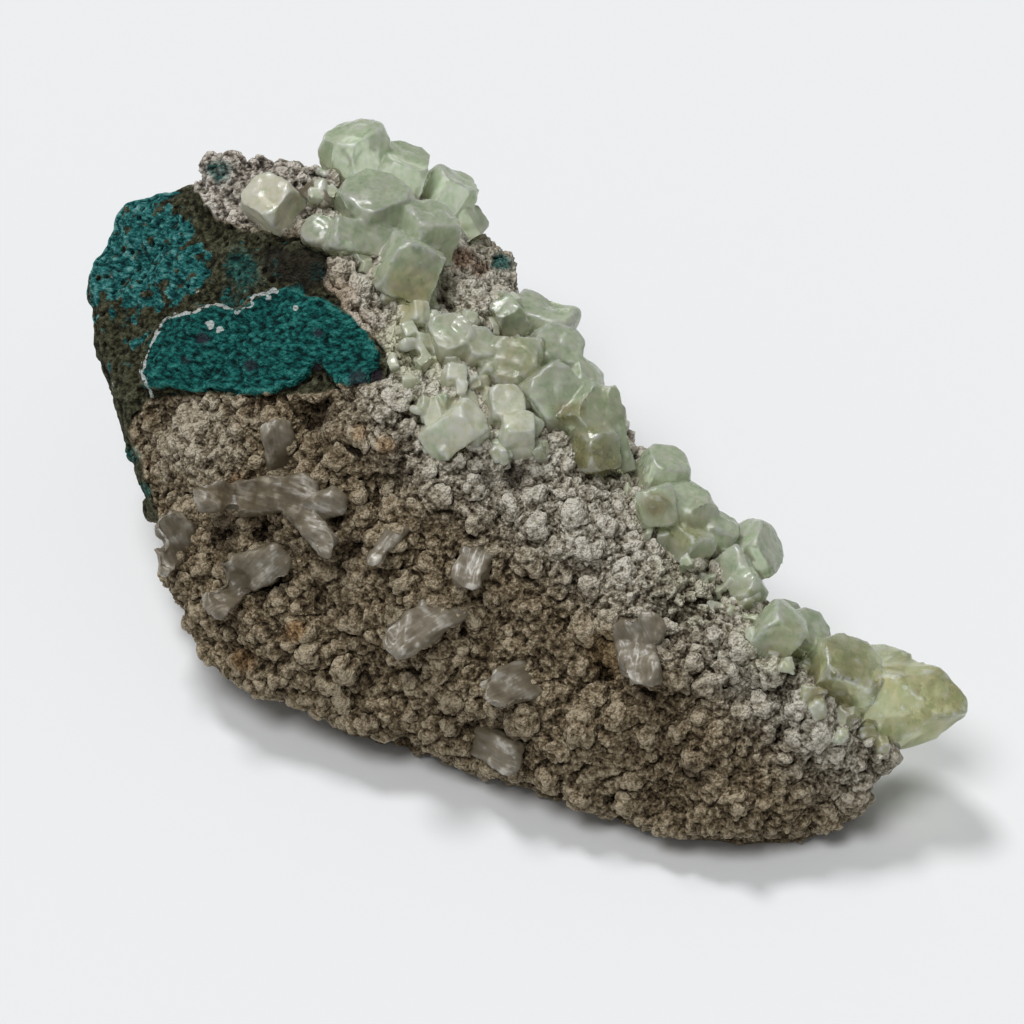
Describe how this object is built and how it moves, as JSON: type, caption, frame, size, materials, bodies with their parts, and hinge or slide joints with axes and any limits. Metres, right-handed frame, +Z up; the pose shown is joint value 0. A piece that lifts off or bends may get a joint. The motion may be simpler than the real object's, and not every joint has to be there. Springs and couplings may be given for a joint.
{
  "type": "apophyllite mineral specimen",
  "caption": "Pale green apophyllite crystals and white stilbite blades on a wedge of crusted basalt, lying on a flat underside.",
  "frame": {"origin": "on the surface it rests on, under the middle of its bounding box", "axes": "+X along the length, towards the low pointed end; +Y towards the back, where the crystals overhang; +Z up"},
  "size_m": [0.1628, 0.0945, 0.0646],
  "materials": {
    "crusted_basalt": "rough, a crust of small chalcedony balls, with broken dark basalt at one end",
    "apophyllite": "glassy to frosted, clouded, pale green",
    "stilbite": "pearly, milky white"
  },
  "bodies": {
    "root": {"apophyllite_back_end": "apophyllite", "apophyllite_back_high": "apophyllite", "apophyllite_back_low": "apophyllite", "apophyllite_back_middle": "apophyllite", "apophyllite_back_upper": "apophyllite", "apophyllite_crust_lower": "apophyllite", "apophyllite_crust_middle": "apophyllite", "apophyllite_lower_small": "apophyllite", "apophyllite_middle": "apophyllite", "apophyllite_pale_block": "apophyllite", "apophyllite_pointed_end": "apophyllite", "apophyllite_ridge": "apophyllite", "apophyllite_ridge_top": "apophyllite", "apophyllite_summit": "apophyllite", "apophyllite_summit_far": "apophyllite", "basalt_matrix": "crusted_basalt", "stilbite_bright_blade": "stilbite", "stilbite_flat_blades": "stilbite", "stilbite_forked_fan": "stilbite", "stilbite_great_blade": "stilbite", "stilbite_hollow_blades": "stilbite", "stilbite_left_blade": "stilbite", "stilbite_lower_blade": "stilbite", "stilbite_thin_blade": "stilbite", "stilbite_upright_blade": "stilbite", "stilbite_wedge_blade": "stilbite", "stilbite_white_blade": "stilbite"}
  },
  "joints": []
}
